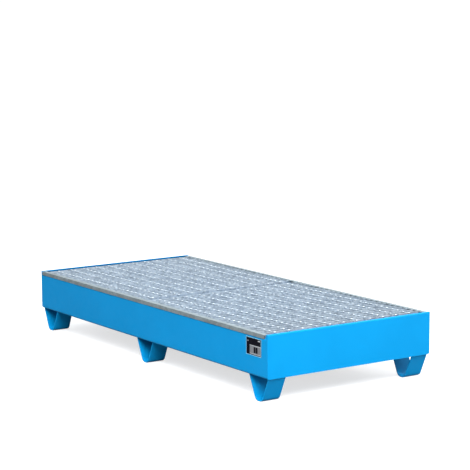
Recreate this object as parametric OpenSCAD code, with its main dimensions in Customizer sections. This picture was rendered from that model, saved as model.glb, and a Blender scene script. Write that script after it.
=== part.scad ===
// Spill containment pallet: a folded and welded steel sump tray on six bent feet,
// with two lift-out welded gratings as its deck. Millimetres, +Z up.
// Origin: middle of the footprint, on the floor. +X runs along the length and the
// front is at -Y.

/* [Tray] */
// Overall length of the tray
tray_len = 1800; // [1500:10:2400]
// Overall width, over the edge bands of the gratings
tray_wid = 800; // [700:10:1000]
// Height of the end walls above the underside of the tray
end_wall_h = 172; // [160:1:300]
// Height of the long walls above the underside, up to the ledge
side_wall_h = 154; // [120:1:155]
// Thickness of the tray sheet
sheet_t = 3; // [2:0.5:4]
// Outside radius of the bends along the bottom edges
bottom_bend_r = 9; // [6:1:14]
// Outside radius of the bends along the top edges
top_bend_r = 5; // [5:0.5:8]
// Width of the ledge that carries the gratings
ledge_w = 28; // [20:1:40]
// Width of the folded edge at the top of each end wall
end_flange_w = 11; // [9:1:20]
// How far the grating bands stand proud of the long walls
band_proud = 1.5; // [0:0.5:3]

/* [Feet] */
// Height of the underside of the tray above the floor
foot_h = 97; // [80:1:120]
// Half width of a foot where it meets the tray
foot_half_w = 65; // [51:0.5:66]
// Half width at which the line of a leg would reach the floor
foot_toe_w = 21; // [21:0.5:30]
// Outside radius of the bends at the bottom of a foot
foot_bend_r = 28; // [12:1:28]
// Thickness of the foot's sheet
foot_t = 4; // [3:0.5:6]
// Length of a foot across the tray
foot_len = 80; // [60:1:120]
// Distance from the middle of an end foot to the end of the tray
foot_end_inset = 70; // [70:1:120]
// Distance from the outer face of a foot to the widest part of the tray
foot_side_inset = 10; // [5:1:30]

/* [Gratings] */
// Depth of the bars and bands
bar_h = 16; // [12:1:30]
// Thickness of a bearing bar
bar_t = 3; // [2:0.5:4]
// Thickness of the two end bars of a grating
end_bar_t = 4; // [3:0.5:6]
// Distance between bearing bars, middle to middle
bar_pitch = 34.3; // [30:0.1:34.5]
// Number of bearing bars in a grating, with its two end bars
bar_count = 25; // [15:2:25]
// Thickness of the front and back bands, which are angles
band_t = 3; // [2:0.5:4]
// Width of the top leg of a band
band_top_w = 20; // [10:1:25]
// Thickness of a cross rod
rod_d = 6; // [4:0.5:8]
// Distance between cross rods, middle to middle
rod_pitch = 66; // [40:1:70]
// Number of cross rods in a grating
rod_count = 11; // [3:2:11]
// How far the cross rods stand out past the end bars
rod_overhang = 1; // [0:0.5:3]
// Gap between the two gratings
panel_gap = 0.6; // [0.6:0.1:5]
// Gap between the left grating and the folded edge of its end wall
left_end_gap = 1; // [1:0.5:10]
// Gap between the right grating and the folded edge of its end wall
right_end_gap = 10; // [1:0.5:12]

/* [Rating plate] */
// Width of the plate
plate_w = 100; // [60:1:140]
// Height of the plate
plate_h = 70; // [40:1:80]
// Thickness of the plate
plate_t = 1; // [0.5:0.5:1.5]
// Radius of the plate's corners
plate_r = 2; // [1:0.5:6]
// Distance from the plate's edge to the end of the tray
plate_end_inset = 40; // [30:1:200]
// Distance from the plate's top edge to the ledge
plate_drop = 6; // [5:1:60]

/* [Welds] */
// Leg length of the weld beads
weld_leg = 4; // [3:0.5:6]

/* [Hidden] */

// Points on each quarter bend
bend_steps = 8;
half_len = tray_len / 2;
// The long walls stand back from the bands
wall_y = tray_wid / 2 - band_proud;
ledge_z = foot_h + side_wall_h;
rim_z = foot_h + end_wall_h;
deck_z = ledge_z + bar_h;
// The folded sheet runs between the end walls
tub_half_len = half_len - sheet_t;
// The ledge stops where the folded edges of the end walls begin
ledge_half_len = half_len - end_flange_w;

foot_x = half_len - foot_end_inset;
foot_y = tray_wid / 2 - foot_side_inset - foot_len / 2;
FOOT_COLUMNS = [-foot_x, 0, foot_x];

// Middle of the gap between the gratings. Both are loose, and may lie nearer one end
joint_x = (left_end_gap - right_end_gap) / 2;
// The right grating, measured from there
panel_start = panel_gap / 2;
panel_end = ledge_half_len - (left_end_gap + right_end_gap) / 2;
panel_mid = (panel_start + panel_end) / 2;
first_bar_x = panel_mid - bar_pitch * (bar_count - 1) / 2;
last_bar_x = panel_mid + bar_pitch * (bar_count - 1) / 2;
// The bars stop at the inner faces of the bands, under their top legs
bar_end_y = tray_wid / 2 - band_t;
band_inner_y = tray_wid / 2 - band_top_w;
first_rod_y = -rod_pitch * (rod_count - 1) / 2;

BLUE = [0.08, 0.58, 0.86];
ZINC = [0.62, 0.65, 0.68];
BLACK = [0.06, 0.06, 0.08];

// Points of an arc about c, from angle a0 to angle a1
function arc(c, r, a0, a1) =
    [for (i = [0:bend_steps]) let (a = a0 + (a1 - a0) * i / bend_steps)
        c + r * [cos(a), sin(a)]];

// The same points on the other side of the vertical axis, in reverse order
function mirrored(points) =
    [for (i = [len(points) - 1:-1:0]) [-points[i][0], points[i][1]]];

// Draws a closed outline that is the same on both sides of the vertical axis
module symmetric_outline(right_half) {
    polygon(concat(right_half, mirrored(right_half)));
}

// Extrudes an outline in Y and Z along X, from x0 to x1
module along_x(x0, x1) {
    translate([x0, 0, 0])
        rotate([90, 0, 90])
            linear_extrude(height = x1 - x0)
                children();
}

// Extrudes an outline in X and Z along Y, from y0 to y1
module along_y(y0, y1) {
    translate([0, y1, 0])
        rotate([90, 0, 0])
            linear_extrude(height = y1 - y0)
                children();
}

// ---- Tray ----

bottom_bend_c = [wall_y - bottom_bend_r, foot_h + bottom_bend_r];
top_bend_c = [wall_y - top_bend_r, ledge_z - top_bend_r];

// Section of the folded sheet where the long walls end in the ledge
module ledge_section() {
    outside = concat(
        arc(bottom_bend_c, bottom_bend_r, -90, 0),
        arc(top_bend_c, top_bend_r, 0, 90),
        [[wall_y - ledge_w, ledge_z]]);
    inside = concat(
        [[wall_y - ledge_w, ledge_z - sheet_t]],
        arc(top_bend_c, top_bend_r - sheet_t, 90, 0),
        arc(bottom_bend_c, bottom_bend_r - sheet_t, 0, -90));
    symmetric_outline(concat(outside, inside));
}

// Section of the folded sheet at its ends, where the long walls reach the rim
module ear_section() {
    outside = concat(
        arc(bottom_bend_c, bottom_bend_r, -90, 0),
        [[wall_y, rim_z], [wall_y - sheet_t, rim_z]]);
    inside = arc(bottom_bend_c, bottom_bend_r - sheet_t, 0, -90);
    symmetric_outline(concat(outside, inside));
}

module tub_sheet() {
    color(BLUE)
        union() {
            along_x(-ledge_half_len, ledge_half_len) ledge_section();
            along_x(ledge_half_len, tub_half_len) ear_section();
            along_x(-tub_half_len, -ledge_half_len) ear_section();
        }
}

// Flat of the end wall: it covers the end of the folded sheet, and stops below
// the folded edge between the two ears
module end_wall_outline() {
    symmetric_outline(concat(
        arc(bottom_bend_c, bottom_bend_r, -90, 0),
        [
            [wall_y, rim_z],
            [wall_y - sheet_t, rim_z],
            [wall_y - sheet_t, rim_z - top_bend_r]
        ]));
}

// Folded edge of the end wall, seen from the side
module end_fold_section() {
    bend_c = [half_len - top_bend_r, rim_z - top_bend_r];
    polygon(concat(
        arc(bend_c, top_bend_r, 0, 90),
        [
            [ledge_half_len, rim_z],
            [ledge_half_len, rim_z - sheet_t]
        ],
        arc(bend_c, top_bend_r - sheet_t, 90, 0)));
}

module end_wall() {
    union() {
        along_x(tub_half_len, half_len) end_wall_outline();
        along_y(sheet_t - wall_y, wall_y - sheet_t) end_fold_section();
    }
}

module end_wall_right() {
    color(BLUE) end_wall();
}

module end_wall_left() {
    color(BLUE) mirror([1, 0, 0]) end_wall();
}

// Beads inside the tray, where the end walls meet the folded sheet
module tray_seam_welds() {
    floor_z = foot_h + sheet_t;
    inner_y = wall_y - sheet_t;
    bead_low_z = foot_h + bottom_bend_r;
    bead_top_z = ledge_z - top_bend_r;
    bead_half_len = wall_y - bottom_bend_r;
    color(BLUE)
        for (end = [0, 1])
            mirror([end, 0, 0]) {
                along_y(-bead_half_len, bead_half_len)
                    polygon([
                        [tub_half_len, floor_z],
                        [tub_half_len, floor_z + weld_leg],
                        [tub_half_len - weld_leg, floor_z]
                    ]);
                for (side = [0, 1])
                    mirror([0, side, 0])
                        translate([0, 0, bead_low_z])
                            linear_extrude(height = bead_top_z - bead_low_z)
                                polygon([
                                    [tub_half_len, inner_y],
                                    [tub_half_len - weld_leg, inner_y],
                                    [tub_half_len, inner_y - weld_leg]
                                ]);
            }
}

// ---- Feet ----

// How far a leg runs out for each millimetre of height
lean_run = (foot_half_w - foot_toe_w) / foot_h;
// Lean of the legs from vertical, in degrees
foot_lean = atan(lean_run);
// Flat half width left between the two bends on the floor
foot_flat_w = foot_toe_w - foot_bend_r * tan((90 - foot_lean) / 2);
foot_bend_c = [foot_flat_w, foot_bend_r];
// Width of a leg's cut edge against the tray
foot_edge_w = foot_t / cos(foot_lean);

// Section of a foot: a shallow V with a rounded, flat bottom
module foot_section() {
    outside = concat(
        arc(foot_bend_c, foot_bend_r, -90, -foot_lean),
        [[foot_half_w, foot_h]]);
    inside = concat(
        [[foot_half_w - foot_edge_w, foot_h]],
        arc(foot_bend_c, foot_bend_r - foot_t, -foot_lean, -90));
    symmetric_outline(concat(outside, inside));
}

// row is -1 for the front and 1 for the back
module foot(column, row) {
    color(BLUE)
        translate([FOOT_COLUMNS[column], 0, 0])
            along_y(row * foot_y - foot_len / 2, row * foot_y + foot_len / 2)
                foot_section();
}

module foot_front_left() { foot(0, -1); }
module foot_front_middle() { foot(1, -1); }
module foot_front_right() { foot(2, -1); }
module foot_back_left() { foot(0, 1); }
module foot_back_middle() { foot(1, 1); }
module foot_back_right() { foot(2, 1); }

// Section of the bead between a leg and the underside of the tray
module foot_weld_section() {
    polygon([
        [foot_half_w, foot_h],
        [foot_half_w + weld_leg, foot_h],
        [foot_half_w - weld_leg * lean_run, foot_h - weld_leg]
    ]);
}

module foot_welds() {
    bead_half_len = foot_len / 2 - weld_leg;
    color(BLUE)
        for (x = FOOT_COLUMNS, row = [-1, 1], side = [0, 1])
            translate([x, 0, 0])
                mirror([side, 0, 0])
                    along_y(row * foot_y - bead_half_len, row * foot_y + bead_half_len)
                        foot_weld_section();
}

// ---- Rating plate ----

module rating_plate() {
    plate_x = half_len - plate_end_inset - plate_w / 2;
    plate_z = ledge_z - plate_drop - plate_h / 2;
    color(BLACK)
        along_y(-wall_y - plate_t, -wall_y)
            translate([plate_x, plate_z])
                rounded_plate();
}

module rounded_plate() {
    corner = [plate_w / 2 - plate_r, plate_h / 2 - plate_r];
    symmetric_outline(concat(
        arc([corner[0], -corner[1]], plate_r, -90, 0),
        arc(corner, plate_r, 0, 90)));
}

// ---- Gratings ----

// A bar on edge, with a shoulder at both ends for the top legs of the bands and
// a notch in its top for every cross rod
module notched_bar_outline() {
    half_notch = rod_d / 2;
    notch_z = deck_z - rod_d;
    notches = [
        for (i = [rod_count - 1:-1:0])
            let (y = first_rod_y + i * rod_pitch)
            each [
                [y + half_notch, deck_z],
                [y + half_notch, notch_z],
                [y - half_notch, notch_z],
                [y - half_notch, deck_z]
            ]
    ];
    shoulder = [
        [bar_end_y, ledge_z],
        [bar_end_y, deck_z - band_t],
        [band_inner_y, deck_z - band_t],
        [band_inner_y, deck_z]
    ];
    polygon(concat(shoulder, notches, mirrored(shoulder)));
}

module bar(x, thickness) {
    along_x(x - thickness / 2, x + thickness / 2) notched_bar_outline();
}

module bearing_bars() {
    for (i = [1:bar_count - 2])
        bar(first_bar_x + i * bar_pitch, bar_t);
}

module cross_rods() {
    rod_start = first_bar_x - end_bar_t / 2 - rod_overhang;
    rod_end = last_bar_x + end_bar_t / 2 + rod_overhang;
    for (i = [0:rod_count - 1])
        translate([rod_start, first_rod_y + i * rod_pitch, deck_z - rod_d / 2])
            rotate([0, 90, 0])
                cylinder(d = rod_d, h = rod_end - rod_start, $fn = 32);
}

// Section of the back band: an angle with its top leg over the ends of the bars
module band_section() {
    outer_y = tray_wid / 2;
    polygon([
        [outer_y, ledge_z],
        [outer_y, deck_z],
        [band_inner_y, deck_z],
        [band_inner_y, deck_z - band_t],
        [bar_end_y, deck_z - band_t],
        [bar_end_y, ledge_z]
    ]);
}

module back_band() {
    along_x(panel_start, panel_end) band_section();
}

module front_band() {
    mirror([0, 1, 0]) back_band();
}

// Places a piece of the right grating
module on_the_right() {
    color(ZINC)
        translate([joint_x, 0, 0])
            children();
}

// Places the same piece on the left grating, as its mirror image
module on_the_left() {
    color(ZINC)
        translate([joint_x, 0, 0])
            mirror([1, 0, 0])
                children();
}

module grating_right_bearing_bars() { on_the_right() bearing_bars(); }
module grating_right_outer_bar() { on_the_right() bar(last_bar_x, end_bar_t); }
module grating_right_inner_bar() { on_the_right() bar(first_bar_x, end_bar_t); }
module grating_right_cross_rods() { on_the_right() cross_rods(); }
module grating_right_front_band() { on_the_right() front_band(); }
module grating_right_back_band() { on_the_right() back_band(); }

module grating_left_bearing_bars() { on_the_left() bearing_bars(); }
module grating_left_outer_bar() { on_the_left() bar(last_bar_x, end_bar_t); }
module grating_left_inner_bar() { on_the_left() bar(first_bar_x, end_bar_t); }
module grating_left_cross_rods() { on_the_left() cross_rods(); }
module grating_left_front_band() { on_the_left() front_band(); }
module grating_left_back_band() { on_the_left() back_band(); }

tub_sheet();
end_wall_left();
end_wall_right();
tray_seam_welds();
foot_front_left();
foot_front_middle();
foot_front_right();
foot_back_left();
foot_back_middle();
foot_back_right();
foot_welds();
rating_plate();
grating_left_bearing_bars();
grating_left_outer_bar();
grating_left_inner_bar();
grating_left_cross_rods();
grating_left_front_band();
grating_left_back_band();
grating_right_bearing_bars();
grating_right_outer_bar();
grating_right_inner_bar();
grating_right_cross_rods();
grating_right_front_band();
grating_right_back_band();
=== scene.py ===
"""Looks for the spill containment pallet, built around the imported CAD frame.

Everything is in metres in the row frame: +X along the length, the front at -Y, +Z up.
"""
import math
import random

import bmesh
import bpy
from mathutils import Matrix, Vector


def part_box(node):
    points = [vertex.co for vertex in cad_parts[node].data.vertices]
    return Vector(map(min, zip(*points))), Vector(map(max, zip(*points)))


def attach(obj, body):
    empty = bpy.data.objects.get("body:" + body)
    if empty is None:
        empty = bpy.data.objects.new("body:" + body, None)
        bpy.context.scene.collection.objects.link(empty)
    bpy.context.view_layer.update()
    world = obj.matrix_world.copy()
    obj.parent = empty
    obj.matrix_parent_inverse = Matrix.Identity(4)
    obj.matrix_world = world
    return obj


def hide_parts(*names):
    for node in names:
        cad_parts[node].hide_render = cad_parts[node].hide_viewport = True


MM = 0.001

# Counts of the repeated bars, as the gratings are made
BAR_COUNT = 25
ROD_COUNT = 11
GRATINGS = {"left": "left_grating", "right": "right_grating"}

# Cross rods: twisted square bar, a little below the tops of the bearing bars
ROD_HALF_DIAGONAL = 2.8 * MM
ROD_FLAT_SHARE = 0.74
ROD_DROP = 0.9 * MM
ROD_TWIST_LENGTH = 48 * MM
ROD_STEP = 3.0 * MM

# Forged lumps where the rods are pressed into the bars
LUMP_ALONG_ROD = 6.0 * MM
LUMP_ALONG_BAR = 4.8 * MM
LUMP_SIDES = 14

# Shape of a lump from its skirt to its pressed top: share of its reach, and height
# against the deck
LUMP_PROFILE = ((0.80, -5.0 * MM), (0.98, -3.4 * MM), (1.0, -1.8 * MM), (0.90, -0.7 * MM),
                (0.74, -0.15 * MM), (0.52, 0.05 * MM), (0.25, 0.1 * MM))

# Butt weld in a band: its place along the band, and its size
BUTT_WELD_SHARE = 0.267
BUTT_WELD_WIDTH = 4 * MM
BUTT_WELD_HEIGHT = 0.5 * MM
BUTT_WELD_POINTS = 8

# Lean of the feet's legs from vertical, in degrees
FOOT_LEAN = 24.4

# Weld beads: the leg of each kind, and what they share
FOOT_BEAD_LEG = 4.2 * MM
SEAM_BEAD_LEG = 4 * MM
BAND_BEAD_LEG = 3 * MM
BEAD_STEP = 0.9 * MM
BEAD_RIPPLE_LENGTH = 3.2 * MM
BEAD_ARC_POINTS = 6
BEAD_HOLLOW = 0.16
BEAD_ROOT_DEPTH = 0.12

# Rating plate: thickness of a printed film. The border's gap to the plate's edge and the
# width of its line are shares of the plate's width.
FILM = 0.12 * MM
BORDER_GAP = 0.005
BORDER_LINE = 0.014
# Printed fields: left, right, bottom and top as shares of the plate, and layers of film
PANEL_FIELDS = ((0.24, 0.975, 0.07, 0.575, 1),)
BLOCK_FIELDS = ((0.505, 0.625, 0.165, 0.49, 2), (0.642, 0.762, 0.165, 0.49, 2))
MARK_FIELDS = ((0.10, 0.15, 0.74, 0.80, 1), (0.78, 0.93, 0.84, 0.90, 1),
               (0.24, 0.975, 0.535, 0.575, 2), (0.27, 0.94, 0.085, 0.12, 2))

# Eased edges of the CAD pieces
SHEET_EDGE = 0.9 * MM
FOOT_EDGE = 0.7 * MM
BAND_EDGE = 0.5 * MM
BAR_EDGE = 0.4 * MM
PLATE_EDGE = 0.2 * MM
EDGE_SEGMENTS = 2

# Sky: its colour, where on the way up its light starts and stops rising, how strong it is
# there, and how bright it looks when it is seen
SKY_COLOUR = (0.90, 0.95, 1.0, 1.0)
SKY_LOW_HEIGHT = 0.10
SKY_FULL_HEIGHT = 0.65
SKY_LOW_STRENGTH = 0.25
SKY_FULL_STRENGTH = 1.25
SKY_SEEN_STRENGTH = 1.15

# Soft lights: name, place, what it points at, size, watts and colour
WHITE = (1.0, 1.0, 1.0)
LIGHTS = (
    ("key_softbox", (4.0, -2.2, 4.2), (0.4, 0, 0.15), (4.0, 3.4), 950, WHITE),
    ("front_softbox", (0.4, -4.6, 3.8), (0, 0, 0.15), (4.0, 2.4), 110, WHITE),
    ("rim_softbox", (-4.0, 3.6, 3.4), (0, 0, 0.2), (3.4, 2.6), 55, (0.85, 0.93, 1.0)),
    ("fill_softbox", (0.8, 4.8, 2.4), (0, 0, 0.2), (3.4, 2.0), 260, WHITE),
    ("side_softbox", (4.6, 3.4, 0.9), (0.9, 0, 0.15), (2.4, 1.4), 70, WHITE),
    ("end_softbox", (-4.8, 0.1, 1.3), (-0.9, 0, 0.15), (1.8, 1.4), 60, WHITE),
)

# Camera: its place, direction, roll and lens. Angles are in degrees.
CAMERA_PLACE = (6.0247, -4.0295, 1.5720)
CAMERA_AZIMUTH = 55.775
CAMERA_ELEVATION = 8.358
CAMERA_ROLL = -0.28
CAMERA_LENS_MM = 130.99
CAMERA_SENSOR_MM = 36

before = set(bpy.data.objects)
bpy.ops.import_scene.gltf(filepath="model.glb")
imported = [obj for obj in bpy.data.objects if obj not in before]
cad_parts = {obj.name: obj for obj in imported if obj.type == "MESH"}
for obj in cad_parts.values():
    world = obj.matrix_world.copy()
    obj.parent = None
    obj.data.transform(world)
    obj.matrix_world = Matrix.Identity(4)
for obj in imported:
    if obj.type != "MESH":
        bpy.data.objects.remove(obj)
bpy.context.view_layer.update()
random.seed(11)


# ---------------------------------------------------------------- node helpers

class Shader:
    """A material's node tree, with short calls for the nodes used here."""

    def __init__(self, name):
        self.material = bpy.data.materials.new(name)
        self.material.use_nodes = True
        self.tree = self.material.node_tree
        self.surface = self.tree.nodes["Principled BSDF"]
        self.place = self.new("ShaderNodeTexCoord").outputs["Object"]

    def new(self, kind, **values):
        node = self.tree.nodes.new(kind)
        for key, value in values.items():
            setattr(node, key, value)
        return node

    def link(self, source, target):
        self.tree.links.new(source, target)

    def noise(self, scale, detail=3.0, roughness=0.55):
        """Noise with about scale swells to the metre."""
        node = self.new("ShaderNodeTexNoise")
        node.inputs["Scale"].default_value = scale
        node.inputs["Detail"].default_value = detail
        node.inputs["Roughness"].default_value = roughness
        self.link(self.place, node.inputs["Vector"])
        return node.outputs["Fac"]

    def cells(self, scale):
        """Crystal-like cells, each with one random grey."""
        node = self.new("ShaderNodeTexVoronoi")
        node.inputs["Scale"].default_value = scale
        self.link(self.place, node.inputs["Vector"])
        split = self.new("ShaderNodeSeparateColor")
        self.link(node.outputs["Color"], split.inputs["Color"])
        return split.outputs["Red"]

    def height(self):
        node = self.new("ShaderNodeSeparateXYZ")
        self.link(self.place, node.inputs["Vector"])
        return node.outputs["Z"]

    def span(self, value, low, high, out_low=0.0, out_high=1.0):
        """Stretches low..high to out_low..out_high, and clips what is outside."""
        node = self.new("ShaderNodeMapRange")
        node.inputs["From Min"].default_value = low
        node.inputs["From Max"].default_value = high
        node.inputs["To Min"].default_value = out_low
        node.inputs["To Max"].default_value = out_high
        self.link(value, node.inputs["Value"])
        return node.outputs["Result"]

    def math(self, operation, a, b):
        node = self.new("ShaderNodeMath", operation=operation)
        for socket, value in zip(node.inputs, (a, b)):
            if isinstance(value, float):
                socket.default_value = value
            else:
                self.link(value, socket)
        return node.outputs["Value"]

    def blend(self, factor, a, b):
        node = self.new("ShaderNodeMix", data_type="RGBA")
        self.link(factor, node.inputs["Factor"])
        for socket, value in ((node.inputs["A"], a), (node.inputs["B"], b)):
            if isinstance(value, tuple):
                socket.default_value = (*value, 1.0)
            else:
                self.link(value, socket)
        return node.outputs["Result"]

    def bump(self, height, distance, strength=1.0, below=None):
        node = self.new("ShaderNodeBump")
        node.inputs["Strength"].default_value = strength
        node.inputs["Distance"].default_value = distance
        self.link(height, node.inputs["Height"])
        if below is not None:
            self.link(below, node.inputs["Normal"])
        return node.outputs["Normal"]

    def set(self, **values):
        """Sets or links inputs of the surface shader; _ stands for a space."""
        for key, value in values.items():
            socket = self.surface.inputs[key.replace("_", " ")]
            if isinstance(value, float):
                socket.default_value = value
            elif isinstance(value, tuple):
                socket.default_value = (*value, 1.0)
            else:
                self.link(value, socket)


# ------------------------------------------------------------------- materials

def make_blue_paint():
    """Light blue powder coat: fine orange peel, faint cloudiness, patchy darker grey towards
    the floor.
    """
    s = Shader("blue_powder_coat")
    cloud = s.span(s.noise(5.0, 2.0), 0.35, 0.65)
    paint = s.blend(cloud, (0.0004, 0.164, 0.372), (0.0006, 0.176, 0.396))
    grain = s.span(s.noise(900.0, 2.0, 0.6), 0.3, 0.7)
    paint = s.blend(s.math("MULTIPLY", grain, 0.5), paint, (0.0008, 0.146, 0.332))
    # Darker grey-blue in patches within 14 mm of the floor
    patch_noise = s.span(s.noise(260.0, 4.0, 0.7), 0.56, 0.70)
    near_floor = s.span(s.height(), 0.0, 14 * MM, 0.75, 0.0)
    floor_dark_patches = s.math("MULTIPLY", patch_noise, near_floor)
    paint = s.blend(floor_dark_patches, paint, (0.045, 0.10, 0.15))
    peel = s.noise(620.0, 2.0, 0.45)
    sheet_wave = s.noise(4.5, 1.0, 0.3)
    normal = s.bump(sheet_wave, 1.2 * MM, 0.35)
    normal = s.bump(peel, 0.05 * MM, 0.6, normal)
    s.set(Base_Color=paint, Roughness=s.span(s.noise(38.0), 0.3, 0.7, 0.38, 0.50),
          Normal=normal, Specular_IOR_Level=0.05)
    return s.material


def make_zinc(name, dark, light, spangle_size):
    """Hot-dip galvanised steel: faint spangle, soft runs and small pimples."""
    s = Shader(name)
    spangle = s.cells(1.0 / spangle_size)
    smears = s.noise(30.0, 4.0, 0.6)
    tone = s.math("MULTIPLY", s.math("ADD", spangle, smears), 0.5)
    zinc = s.blend(s.span(tone, 0.2, 0.75), dark, light)
    pimples = s.noise(480.0, 3.0, 0.6)
    normal = s.bump(smears, 0.5 * MM, 0.25)
    normal = s.bump(pimples, 0.08 * MM, 0.5, normal)
    s.set(Base_Color=zinc, Metallic=0.5, Roughness=s.span(tone, 0.2, 0.8, 0.38, 0.56),
          Normal=normal, Specular_IOR_Level=0.4)
    return s.material


def make_print(name, colour):
    """Ink or film on the rating plate, with a faint satin grain."""
    s = Shader(name)
    lighter = tuple(min(1.0, c * 1.12 + 0.002) for c in colour)
    grain = s.noise(900.0, 2.0)
    s.set(Base_Color=s.blend(s.span(s.noise(70.0), 0.35, 0.65), colour, lighter),
          Roughness=s.span(grain, 0.3, 0.7, 0.44, 0.56),
          Normal=s.bump(grain, 0.02 * MM, 0.4), Specular_IOR_Level=0.02)
    return s.material


def make_floor_material():
    """Seen, the floor is a bright sweep. It throws back only a little light, like a
    darker floor, so the undersides stay in shade."""
    s = Shader("studio_floor")
    seen = s.new("ShaderNodeLightPath").outputs["Is Camera Ray"]
    pale = s.blend(s.noise(0.6), (0.38, 0.38, 0.38), (0.40, 0.40, 0.40))
    s.set(Base_Color=s.blend(seen, (0.22, 0.22, 0.22), pale),
          Roughness=0.9, Specular_IOR_Level=0.1,
          Emission_Color=(1.0, 1.0, 1.0), Emission_Strength=s.math("MULTIPLY", seen, 0.68))
    return s.material


# --------------------------------------------------------------- mesh helpers

def add_piece(name, bm, material, body, smooth=True):
    """Turns a bmesh in the row frame into a piece that rides on a body."""
    bmesh.ops.recalc_face_normals(bm, faces=bm.faces)
    mesh = bpy.data.meshes.new(name)
    bm.to_mesh(mesh)
    bm.free()
    mesh.polygons.foreach_set("use_smooth", [smooth] * len(mesh.polygons))
    mesh.materials.append(material)
    piece = bpy.data.objects.new(name, mesh)
    bpy.context.scene.collection.objects.link(piece)
    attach(piece, body)
    return piece


def skin(bm, rings, loop=False):
    """Joins rings of points, in order, into a capped tube, or into a closed loop."""
    verts = [[bm.verts.new(p) for p in ring] for ring in rings]
    count = len(verts[0])
    pairs = list(zip(verts, verts[1:]))
    if loop:
        pairs.append((verts[-1], verts[0]))
    else:
        bm.faces.new(list(reversed(verts[0])))
        bm.faces.new(verts[-1])
    for near, far in pairs:
        for i in range(count):
            j = (i + 1) % count
            bm.faces.new((near[i], near[j], far[j], far[i]))


def spread(low, high, count):
    """Evenly spaced values from low to high."""
    return [low + (high - low) * i / (count - 1) for i in range(count)]


def middle(node):
    """Middle of a CAD node's box."""
    low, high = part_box(node)
    return (low + high) / 2


def bar_places(side):
    """Middle of every bearing bar of one grating, along X."""
    inner = middle(f"grating_{side}_inner_bar").x
    outer = middle(f"grating_{side}_outer_bar").x
    return spread(inner, outer, BAR_COUNT)


def rod_places(side):
    """Middle of every cross rod of one grating, along Y."""
    low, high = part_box(f"grating_{side}_cross_rods")
    rod_r = (high.z - low.z) / 2
    return spread(low.y + rod_r, high.y - rod_r, ROD_COUNT)


def soften(obj, width):
    """Eases the sharp edges of a CAD node with modifiers; its own mesh stays."""
    weld = obj.modifiers.new("join_faces", "WELD")
    weld.merge_threshold = 0.002 * MM
    flat = obj.modifiers.new("flat_faces", "DECIMATE")
    flat.decimate_type = "DISSOLVE"
    flat.angle_limit = math.radians(0.5)
    bevel = obj.modifiers.new("eased_edges", "BEVEL")
    bevel.width = width
    bevel.segments = EDGE_SEGMENTS
    bevel.limit_method = "ANGLE"
    bevel.angle_limit = math.radians(35)
    bevel.harden_normals = True


def dress(node, material, edge=0.0):
    """Gives a CAD node its material, and eased edges if edge is above zero."""
    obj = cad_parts[node]
    for slot in obj.material_slots:
        slot.material = material
    if edge:
        soften(obj, edge)


# ------------------------------------------------------------------ weld beads

def bead(bm, start, end, leg_a, leg_b, size):
    """A rippled fillet bead from start to end, between two legs at its root."""
    run = end - start
    length = run.length
    ripple_shift = random.uniform(0, BEAD_RIPPLE_LENGTH)
    steps = max(4, round(length / BEAD_STEP))
    rings = []
    for i in range(steps + 1):
        along = length * i / steps
        phase = ((along + ripple_shift) % BEAD_RIPPLE_LENGTH) / BEAD_RIPPLE_LENGTH
        ripple = 0.93 + 0.14 * math.sin(math.pi * phase)
        # Thinner where the bead starts and stops
        taper = min(1.0, 0.35 + min(along, length - along) / (1.2 * size))
        r = size * ripple * taper * random.uniform(0.985, 1.015)
        root = start + run * (i / steps)
        ring = [root - (leg_a + leg_b) * (BEAD_ROOT_DEPTH * size)]
        for k in range(BEAD_ARC_POINTS + 1):
            turn = math.pi / 2 * k / BEAD_ARC_POINTS
            reach = r * (1.0 - BEAD_HOLLOW * math.sin(2 * turn))
            ring.append(root + (leg_a * math.cos(turn) + leg_b * math.sin(turn)) * reach)
        rings.append(ring)
    skin(bm, rings)


def foot_beads(paint):
    """Beads where the legs of the feet meet the underside of the tray."""
    bm = bmesh.new()
    lean = math.radians(FOOT_LEAN)
    inset = 2 * MM
    feet = [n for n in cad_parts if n.startswith("foot_") and n != "foot_welds"]
    for node in sorted(feet):
        low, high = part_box(node)
        for side, x in ((-1, low.x), (1, high.x)):
            outward = Vector((side, 0, 0))
            down_leg = Vector((-side * math.sin(lean), 0, -math.cos(lean)))
            bead(bm, Vector((x, low.y + inset, high.z)), Vector((x, high.y - inset, high.z)),
                 outward, down_leg, FOOT_BEAD_LEG)
    piece = add_piece("foot_weld_beads", bm, paint, "tray")
    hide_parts("foot_welds")


def seam_beads(paint):
    """Beads inside the tray, along the foot and the sides of both end walls."""
    bm = bmesh.new()
    low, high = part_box("tray_seam_welds")
    corner = 6 * MM
    for end, x in ((1, low.x), (-1, high.x)):
        inward = Vector((end, 0, 0))
        bead(bm, Vector((x, low.y + corner, low.z)), Vector((x, high.y - corner, low.z)),
             inward, Vector((0, 0, 1)), SEAM_BEAD_LEG)
        for side, y in ((1, low.y), (-1, high.y)):
            bead(bm, Vector((x, y, low.z + corner)), Vector((x, y, high.z)),
                 inward, Vector((0, side, 0)), SEAM_BEAD_LEG)
    piece = add_piece("tray_seam_beads", bm, paint, "tray")
    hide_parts("tray_seam_welds")


# --------------------------------------------------------------------- gratings

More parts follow.
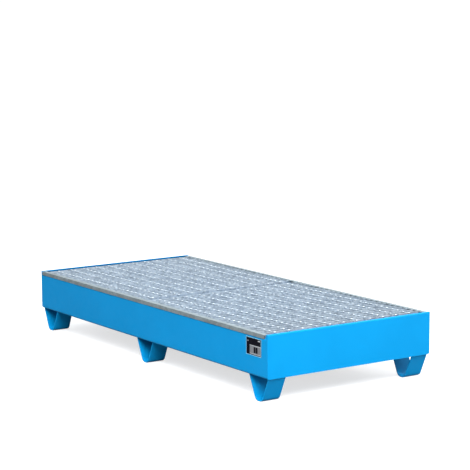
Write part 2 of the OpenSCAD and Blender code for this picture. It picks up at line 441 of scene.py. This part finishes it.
def twisted_rods(side, zinc):
    """Cross rods as twisted square bar, in the notches of the bearing bars."""
    node = f"grating_{side}_cross_rods"
    low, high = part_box(node)
    rod_z = high.z - ROD_DROP - ROD_HALF_DIAGONAL
    steps = round((high.x - low.x) / ROD_STEP)
    bm = bmesh.new()
    for y in rod_places(side):
        start_turn = random.uniform(0, math.pi / 2)
        rings = []
        for i in range(steps + 1):
            x = low.x + (high.x - low.x) * i / steps
            twist = start_turn + math.tau * (x - low.x) / ROD_TWIST_LENGTH
            ring = []
            for k in range(8):
                reach = ROD_HALF_DIAGONAL * (1.0 if k % 2 == 0 else ROD_FLAT_SHARE)
                turn = twist + math.tau * k / 8
                ring.append((x, y + reach * math.cos(turn), rod_z + reach * math.sin(turn)))
            rings.append(ring)
        skin(bm, rings)
    piece = add_piece(f"grating_{side}_twisted_rods", bm, zinc, GRATINGS[side],
                      smooth=False)
    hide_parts(node)


def forged_lumps(side, zinc):
    """The squeezed metal around every crossing of a rod and a bar."""
    deck_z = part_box(f"grating_{side}_bearing_bars")[1].z
    bm = bmesh.new()
    for x in bar_places(side):
        for y in rod_places(side):
            reach_x = LUMP_ALONG_ROD * random.uniform(0.86, 1.12)
            reach_y = LUMP_ALONG_BAR * random.uniform(0.86, 1.12)
            turns = [math.tau * k / LUMP_SIDES for k in range(LUMP_SIDES)]
            # Squeezed metal bulges more on some sides than on others
            bulges = [random.uniform(0.84, 1.10) for _ in turns]
            crown = random.uniform(0.0, 0.25 * MM)
            rings = []
            for share, height in LUMP_PROFILE:
                ring = []
                for turn, bulge in zip(turns, bulges):
                    reach = share * (1 + (bulge - 1) * share)
                    ring.append(Vector((x + reach * reach_x * math.cos(turn),
                                        y + reach * reach_y * math.sin(turn),
                                        deck_z + height + crown * (1 - share))))
                rings.append(ring)
            skin(bm, rings)
    add_piece(f"grating_{side}_forged_lumps", bm, zinc, GRATINGS[side])


def band_beads(side, zinc):
    """Short upright beads that hold every bearing bar to the bands."""
    low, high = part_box(f"grating_{side}_bearing_bars")
    bar_half_thickness = 1.5 * MM
    bm = bmesh.new()
    for x in bar_places(side):
        hand = random.choice((-1, 1))
        for y, inward in ((low.y, 1), (high.y, -1)):
            root = Vector((x + hand * bar_half_thickness, y, 0))
            start = root + Vector((0, 0, low.z + 2 * MM))
            end = root + Vector((0, 0, high.z - 5 * MM))
            bead(bm, start, end, Vector((hand, 0, 0)), Vector((0, inward, 0)),
                 BAND_BEAD_LEG)
    add_piece(f"grating_{side}_band_beads", bm, zinc, GRATINGS[side])


def butt_weld(zinc):
    """The low bead where two lengths of angle meet in the left grating's front band."""
    low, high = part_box("grating_left_front_band")
    x = low.x + BUTT_WELD_SHARE * (high.x - low.x)
    # Up the face of the angle, and back over its top leg
    path = ((low.y, low.z), (low.y, high.z), (high.y, high.z))
    outward = ((-1, 0), (-0.7, 0.7), (0, 1))
    bm = bmesh.new()
    rings = []
    for (y, z), (out_y, out_z) in zip(path, outward):
        ring = []
        for k in range(BUTT_WELD_POINTS + 1):
            turn = math.pi * k / BUTT_WELD_POINTS
            lift = BUTT_WELD_HEIGHT * math.sin(turn)
            ring.append((x + BUTT_WELD_WIDTH / 2 * math.cos(turn), y + out_y * lift,
                         z + out_z * lift))
        rings.append(ring)
    skin(bm, rings)
    add_piece("grating_left_butt_weld", bm, zinc, GRATINGS["left"])


# ----------------------------------------------------------------- rating plate

def plate_print(ink_blue, ink_pale, ink_grey, ink_dark):
    """Blank printed fields on the rating plate, as thin films with real edges."""
    low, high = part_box("rating_plate")
    width, tall = high.x - low.x, high.z - low.z

    def outline(left, right, bottom, top, y):
        """A rectangle at y, placed by shares of the plate's width and height."""
        x0, x1 = low.x + left * width, low.x + right * width
        z0, z1 = low.z + bottom * tall, low.z + top * tall
        return [(x0, y, z0), (x1, y, z0), (x1, y, z1), (x0, y, z1)]

    def films(name, fields, ink):
        """Thin slabs on the plate, all in one ink."""
        bm = bmesh.new()
        for left, right, bottom, top, layers in fields:
            skin(bm, [outline(left, right, bottom, top, low.y),
                      outline(left, right, bottom, top, low.y - FILM * layers)])
        add_piece(name, bm, ink, "tray", smooth=False)

    inside = BORDER_GAP + BORDER_LINE
    inside_tall = BORDER_GAP + BORDER_LINE * width / tall
    outer = (BORDER_GAP, 1 - BORDER_GAP, BORDER_GAP, 1 - BORDER_GAP)
    inner = (inside, 1 - inside, inside_tall, 1 - inside_tall)
    border = bmesh.new()
    skin(border, [outline(*outer, low.y), outline(*outer, low.y - FILM),
                  outline(*inner, low.y - FILM), outline(*inner, low.y)], loop=True)
    add_piece("rating_plate_border", border, ink_blue, "tray", smooth=False)
    films("rating_plate_panel", PANEL_FIELDS, ink_grey)
    films("rating_plate_block", BLOCK_FIELDS, ink_dark)
    films("rating_plate_marks", MARK_FIELDS, ink_pale)


# ------------------------------------------------------------------------ studio

def add_floor():
    bpy.ops.mesh.primitive_plane_add(size=160, location=(0, 0, 0))
    floor = bpy.context.object
    floor.name = "studio_floor"
    floor.data.materials.append(make_floor_material())


def add_area_light(name, place, aim, size, power, colour):
    data = bpy.data.lights.new(name, "AREA")
    data.shape = "RECTANGLE"
    data.size, data.size_y = size
    data.energy = power
    data.color = colour
    lamp = bpy.data.objects.new(name, data)
    lamp.location = place
    lamp.rotation_euler = (Vector(aim) - Vector(place)).to_track_quat("-Z", "Y").to_euler()
    bpy.context.scene.collection.objects.link(lamp)


def add_world():
    """Soft light from all round, strongest overhead and weak along the floor. Seen, it
    is as white as the floor, so no horizon shows."""
    world = bpy.data.worlds.new("studio_world")
    world.use_nodes = True
    tree = world.node_tree
    direction = tree.nodes.new("ShaderNodeTexCoord").outputs["Generated"]
    split = tree.nodes.new("ShaderNodeSeparateXYZ")
    tree.links.new(direction, split.inputs["Vector"])
    rise = tree.nodes.new("ShaderNodeMapRange")
    rise.inputs["From Min"].default_value = SKY_LOW_HEIGHT
    rise.inputs["From Max"].default_value = SKY_FULL_HEIGHT
    rise.inputs["To Min"].default_value = SKY_LOW_STRENGTH
    rise.inputs["To Max"].default_value = SKY_FULL_STRENGTH
    tree.links.new(split.outputs["Z"], rise.inputs["Value"])
    strength = tree.nodes.new("ShaderNodeMix")
    seen = tree.nodes.new("ShaderNodeLightPath").outputs["Is Camera Ray"]
    tree.links.new(seen, strength.inputs["Factor"])
    tree.links.new(rise.outputs["Result"], strength.inputs["A"])
    strength.inputs["B"].default_value = SKY_SEEN_STRENGTH
    background = tree.nodes["Background"]
    background.inputs["Color"].default_value = SKY_COLOUR
    tree.links.new(strength.outputs["Result"], background.inputs["Strength"])
    bpy.context.scene.world = world


def add_camera():
    azimuth, elevation, roll = map(math.radians,
                                   (CAMERA_AZIMUTH, CAMERA_ELEVATION, CAMERA_ROLL))
    forward = Vector((-math.sin(azimuth) * math.cos(elevation),
                      math.cos(azimuth) * math.cos(elevation),
                      -math.sin(elevation)))
    right = Vector((math.cos(azimuth), math.sin(azimuth), 0))
    up = right.cross(forward)
    rolled_right = right * math.cos(roll) + up * math.sin(roll)
    rolled_up = up * math.cos(roll) - right * math.sin(roll)
    data = bpy.data.cameras.new("camera")
    data.lens = CAMERA_LENS_MM
    data.sensor_width = CAMERA_SENSOR_MM
    data.clip_end = 400
    camera = bpy.data.objects.new("camera", data)
    turn = Matrix((rolled_right, rolled_up, -forward)).transposed()
    camera.matrix_world = Matrix.Translation(CAMERA_PLACE) @ turn.to_4x4()
    bpy.context.scene.collection.objects.link(camera)
    bpy.context.scene.camera = camera


# -------------------------------------------------------------------------- build

add_camera()
blue = make_blue_paint()
# The bars' blue tint is a painted reflection of the blue tray and the sky; the band beads and
# butt weld share it
bar_zinc_painted_blue_reflection = make_zinc("galvanised_bars_painted_blue_reflection", (0.170, 0.208, 0.245), (0.310, 0.360, 0.405), 11 * MM)
# The rods are a darker copy of the zinc: painted shade in the gaps between the bars
rod_zinc_painted_shade = make_zinc("galvanised_rods_painted_shade", (0.13, 0.17, 0.21), (0.26, 0.32, 0.37), 9 * MM)
# The lumps are a lighter copy of the zinc: a painted highlight where light catches the
# crossings
lump_zinc_painted_highlight = make_zinc("galvanised_lumps_painted_highlight", (0.27, 0.31, 0.34), (0.43, 0.475, 0.505), 6 * MM)
# The bands are a darker copy of the zinc: painted shade on their upright faces, with a blue
# tint painted as a reflection of the sky
band_zinc_painted_shade_and_tint = make_zinc("galvanised_bands_painted_shade_and_tint", (0.123, 0.150, 0.157), (0.190, 0.231, 0.244), 14 * MM)
ink_black = make_print("plate_black", (0.002, 0.002, 0.004))
ink_blue = make_print("plate_blue_ink", (0.21, 0.45, 0.60))
ink_pale = make_print("plate_pale_ink", (0.22, 0.23, 0.24))
ink_grey = make_print("plate_grey_ink", (0.105, 0.110, 0.118))

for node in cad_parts:
    if node == "rating_plate":
        dress(node, ink_black, PLATE_EDGE)
    elif node == "tub_sheet" or node.startswith("end_wall"):
        dress(node, blue, SHEET_EDGE)
    elif node.startswith("foot_"):
        dress(node, blue, FOOT_EDGE)
    elif node.endswith("_band"):
        dress(node, band_zinc_painted_shade_and_tint, BAND_EDGE)
    elif node.endswith(("_bars", "_bar")):
        dress(node, bar_zinc_painted_blue_reflection, BAR_EDGE)
    else:
        dress(node, blue)

foot_beads(blue)
seam_beads(blue)
for side in GRATINGS:
    twisted_rods(side, rod_zinc_painted_shade)
    forged_lumps(side, lump_zinc_painted_highlight)
    band_beads(side, bar_zinc_painted_blue_reflection)
butt_weld(bar_zinc_painted_blue_reflection)
plate_print(ink_blue, ink_pale, ink_grey, ink_black)

add_floor()
add_world()
for light in LIGHTS:
    add_area_light(*light)
bpy.context.scene.view_settings.view_transform = "Standard"
